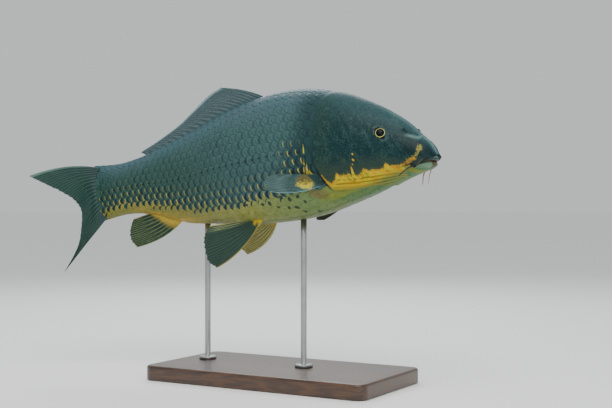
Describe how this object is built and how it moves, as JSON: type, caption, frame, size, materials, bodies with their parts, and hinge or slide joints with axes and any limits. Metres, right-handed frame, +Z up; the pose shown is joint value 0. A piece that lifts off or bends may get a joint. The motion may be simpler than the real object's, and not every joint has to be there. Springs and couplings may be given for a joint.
{
  "type": "koi carp display model",
  "caption": "Life-size model of a dark koi carp with yellow-orange lower cheeks, curled as it turns in the water, held on two short rods over a flat base.",
  "frame": {"origin": "middle of the underside of the stand's base", "axes": "+X from the tail toward the head, +Y toward the fish's left side, +Z up"},
  "size_m": [0.5851, 0.1935, 0.397],
  "materials": {
    "head_skin": "smooth dark slate skin with a satin wet look, yellow-orange on the lower cheeks and olive on the throat",
    "scaled_skin": "satin scales with dark blue-black centres and olive-yellow margins, pale olive belly",
    "eye": "glossy, golden ring round a black pupil",
    "barbel": "soft satin skin",
    "fin": "thin ribbed membrane between dark bony rays, yellow at the roots of the lower fins",
    "dark_wood": "dark stained wood, satin lacquer",
    "steel_rod": "fine brushed"
  },
  "bodies": {
    "root": {"head": "head_skin", "lower_jaw": "head_skin", "lip_upper": "head_skin", "lip_lower": "head_skin", "gill_cover_right": "head_skin", "gill_cover_left": "head_skin", "eye_right": "eye", "eye_left": "eye", "barbel_front_right": "barbel", "barbel_front_left": "barbel", "barbel_rear_right": "barbel", "barbel_rear_left": "barbel", "trunk_front": "scaled_skin", "trunk_rear": "scaled_skin", "tail_stalk": "scaled_skin", "dorsal_fin": "fin", "anal_fin": "fin", "caudal_fin": "fin", "pectoral_fin_right": "fin", "pectoral_fin_left": "fin", "pelvic_fin_right": "fin", "pelvic_fin_left": "fin", "stand_base": "dark_wood", "stand_rod_front": "steel_rod", "stand_rod_rear": "steel_rod"}
  },
  "joints": []
}
